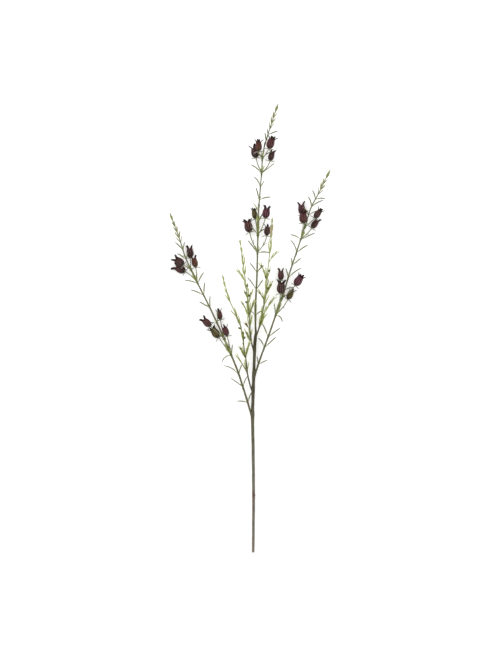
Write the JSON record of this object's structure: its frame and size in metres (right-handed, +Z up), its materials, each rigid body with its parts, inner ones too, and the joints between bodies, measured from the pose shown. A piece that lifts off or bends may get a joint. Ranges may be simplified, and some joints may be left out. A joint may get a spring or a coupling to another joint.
{
  "type": "heather stem",
  "caption": "Long cut heather stem that lies on a surface: a woody stalk forking into needle-leaved branches with clusters of dark urn-shaped blooms and pale green budded sprigs.",
  "frame": {"origin": "middle of the footprint, on the surface that the stem lies on", "axes": "+Y runs from the cut end towards the tips, +X to the stem's right seen from above, +Z up from the surface"},
  "size_m": [0.3518, 0.986, 0.0612],
  "materials": {
    "bark": "matt grey-brown bark with fine long grain",
    "green_stem": "matt grey-green, olive at the nodes, with paler grey leaf tips",
    "young_green": "matt pale yellow-green young shoots and buds",
    "bloom_dark": "satin dark wine red with paler mauve ribs along the petals",
    "bloom_olive": "satin olive brown with wine red tips"
  },
  "bodies": {
    "root": {"main_stalk": "bark", "left_branch": "green_stem", "centre_branch": "green_stem", "right_branch": "green_stem", "outer_sprig": "young_green", "inner_sprig": "young_green", "right_sprig": "young_green", "left_lower_bloom_1": "bloom_olive", "left_lower_bloom_2": "bloom_dark", "left_lower_bloom_3": "bloom_dark", "left_lower_bloom_4": "bloom_dark", "left_upper_bloom_1": "bloom_dark", "left_upper_bloom_2": "bloom_dark", "left_upper_bloom_3": "bloom_dark", "left_upper_bloom_4": "bloom_dark", "centre_lower_bloom_1": "bloom_dark", "centre_lower_bloom_2": "bloom_dark", "centre_lower_bloom_3": "bloom_olive", "centre_lower_bloom_4": "bloom_dark", "centre_upper_bloom_1": "bloom_dark", "centre_upper_bloom_2": "bloom_dark", "centre_upper_bloom_3": "bloom_dark", "centre_upper_bloom_4": "bloom_dark", "right_lower_bloom_1": "bloom_dark", "right_lower_bloom_2": "bloom_olive", "right_lower_bloom_3": "bloom_dark", "right_lower_bloom_4": "bloom_dark", "right_upper_bloom_1": "bloom_dark", "right_upper_bloom_2": "bloom_dark", "right_upper_bloom_3": "bloom_dark", "right_upper_bloom_4": "bloom_dark"}
  },
  "joints": []
}
